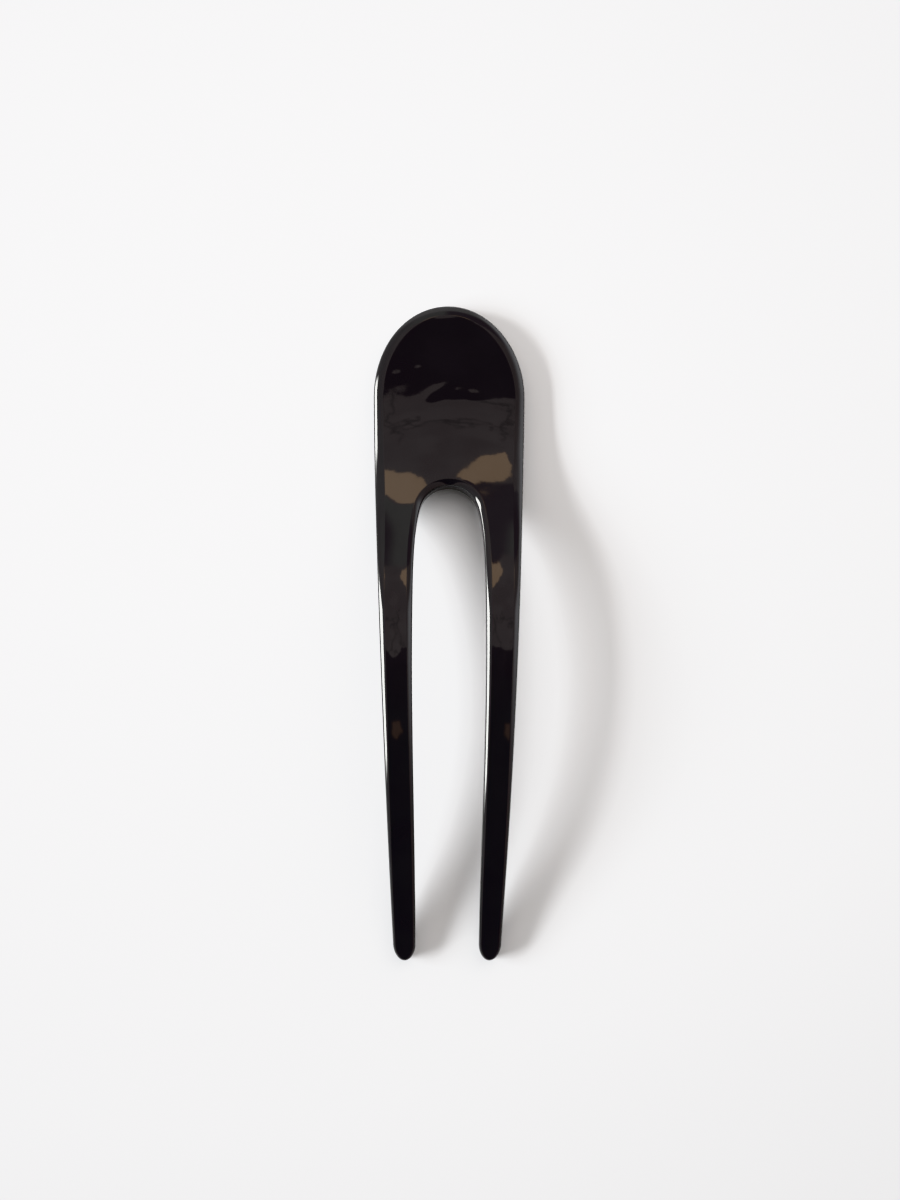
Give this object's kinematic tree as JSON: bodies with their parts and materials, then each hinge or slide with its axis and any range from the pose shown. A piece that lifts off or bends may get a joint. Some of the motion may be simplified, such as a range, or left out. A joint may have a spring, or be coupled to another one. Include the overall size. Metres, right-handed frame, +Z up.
{
  "type": "french hair pin",
  "caption": "One-piece U-shaped hair pin in glossy black acetate: a flat rounded head plate and arched prongs with blunt tips.",
  "frame": {"origin": "on the surface the pin lies on, under the middle of the pin's length and width", "axes": "+Z up, +Y along the pin towards its rounded head, +X across the two prongs"},
  "size_m": [0.03, 0.13, 0.012],
  "materials": {
    "acetate": "black cellulose acetate, tumbled and buffed to a mirror gloss with a very slight waviness"
  },
  "bodies": {
    "root": {"pin": "acetate"}
  },
  "joints": []
}
